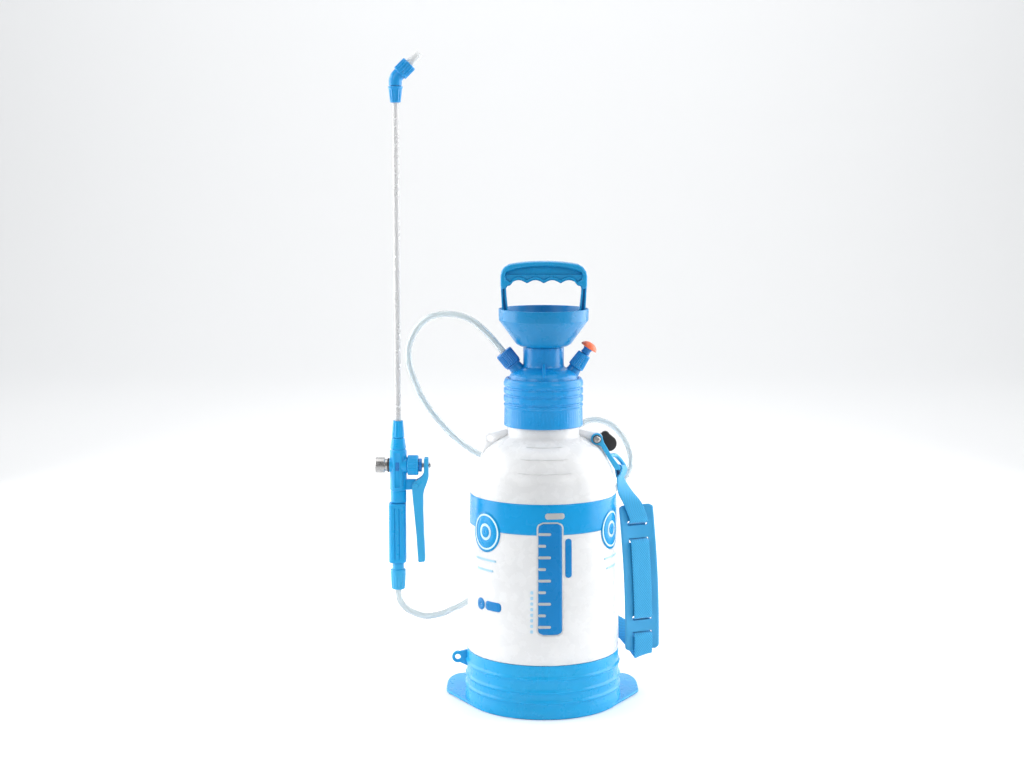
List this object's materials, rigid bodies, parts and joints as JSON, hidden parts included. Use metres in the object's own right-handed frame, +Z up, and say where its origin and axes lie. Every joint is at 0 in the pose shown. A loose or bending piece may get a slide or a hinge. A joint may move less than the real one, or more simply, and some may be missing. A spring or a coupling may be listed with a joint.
{
  "type": "compression sprayer",
  "caption": "Hand-pumped garden pressure sprayer: white tank on a footed blue base, funnel head with D pump handle, hose, trigger lance and shoulder strap.",
  "frame": {"origin": "on the floor under the tank's axis, at the centre of the base's flat underside", "axes": "+Z up along the tank, +X towards the safety valve and strap, -Y towards the front"},
  "size_m": [0.3121, 0.1933, 0.7043],
  "materials": {
    "blue_plastic": "moulded, semi-gloss",
    "deep_blue_plastic": "moulded, semi-gloss",
    "white_plastic": "blow-moulded, satin",
    "clear_plastic": "clear, glossy",
    "clear_hose": "clear flexible hose",
    "steel": "turned, bright",
    "rubber": "matt",
    "orange_plastic": "moulded, semi-gloss",
    "blue_webbing": "woven"
  },
  "bodies": {
    "root": {"base_foot": "blue_plastic", "tank_shell": "white_plastic", "neck_gasket": "rubber", "head_collar": "blue_plastic", "head_body": "deep_blue_plastic", "filling_funnel": "blue_plastic", "hose_nut": "deep_blue_plastic", "hose_nut_seal": "rubber", "relief_nut": "deep_blue_plastic", "relief_seal": "rubber", "relief_spring": "steel", "dip_tube": "white_plastic", "dip_strainer": "blue_plastic", "valve_body": "blue_plastic", "hand_grip": "blue_plastic", "hose_end_nut": "blue_plastic", "hose_tail_strainer": "white_plastic", "hose": "clear_hose", "fitting_washer": "rubber", "inlet_plug": "steel", "gland_nut": "blue_plastic", "gland_cap": "blue_plastic", "gland_seal": "rubber", "valve_spring": "steel", "trigger_pin": "blue_plastic", "lance_nut": "blue_plastic", "strap_screw": "steel", "strap_washer": "steel", "strap_link": "blue_plastic", "shoulder_pad": "blue_plastic", "strap_webbing": "blue_webbing"},
    "pump": {"pump_barrel": "white_plastic", "pump_cap": "deep_blue_plastic", "pump_check_valve": "rubber"},
    "plunger": {"pump_rod": "steel", "pump_piston": "deep_blue_plastic", "piston_seal": "rubber", "pump_handle": "blue_plastic"},
    "relief": {"relief_stem": "deep_blue_plastic", "relief_cap": "orange_plastic", "relief_valve_disc": "deep_blue_plastic"},
    "lever": {"trigger": "blue_plastic"},
    "stem": {"valve_stem": "steel", "valve_seal": "rubber"},
    "lance": {"lance_tube": "white_plastic", "elbow_nut": "blue_plastic", "lance_elbow": "blue_plastic", "nozzle_seal": "rubber"},
    "nozzle": {"nozzle_nut": "blue_plastic", "nozzle_tip": "clear_plastic", "swirl_core": "white_plastic"},
    "strap_nut": {"thumb_nut": "rubber"}
  },
  "joints": [
    {"name": "pump_turn", "type": "hinge", "parent": "root", "child": "pump", "pos_m": [0, 0, 0.398], "axis": [0, 0, 1], "range_deg": [0, 360]},
    {"name": "pump_stroke", "type": "slide", "parent": "pump", "child": "plunger", "axis": [0, 0, 1], "range_m": [0, 0.19]},
    {"name": "relief_pull", "type": "slide", "parent": "root", "child": "relief", "axis": [0.5549, 0, 0.8319], "range_m": [0, 0.004], "stiffness_N_per_m": 900, "springref_m": -0.003, "deforming": ["relief_spring"]},
    {"name": "trigger_squeeze", "type": "hinge", "parent": "root", "child": "lever", "pos_m": [-0.1387, 0, 0.2375], "axis": [0, 1, 0], "range_deg": [0, 8], "stiffness_Nm_per_rad": 1.2, "springref_deg": -8.59},
    {"name": "valve_open", "type": "slide", "parent": "root", "child": "stem", "axis": [1, 0, 0], "range_m": [0, 0.0032], "deforming": ["valve_spring"]},
    {"name": "lance_turn", "type": "hinge", "parent": "root", "child": "lance", "pos_m": [-0.158, 0, 0.3], "axis": [0, 0, 1], "continuous": true},
    {"name": "nozzle_turn", "type": "hinge", "parent": "lance", "child": "nozzle", "pos_m": [-0.158, 0, 0.6755], "axis": [0.7071, 0, 0.7071], "range_deg": [0, 270]},
    {"name": "strap_nut_turn", "type": "hinge", "parent": "root", "child": "strap_nut", "pos_m": [0.058, 0, 0.289], "axis": [0, -1, 0], "range_deg": [0, 100]}
  ],
  "couplings": [
    {"joint": "valve_open", "follows": "trigger_squeeze", "m_per_rad": 0.0218}
  ]
}
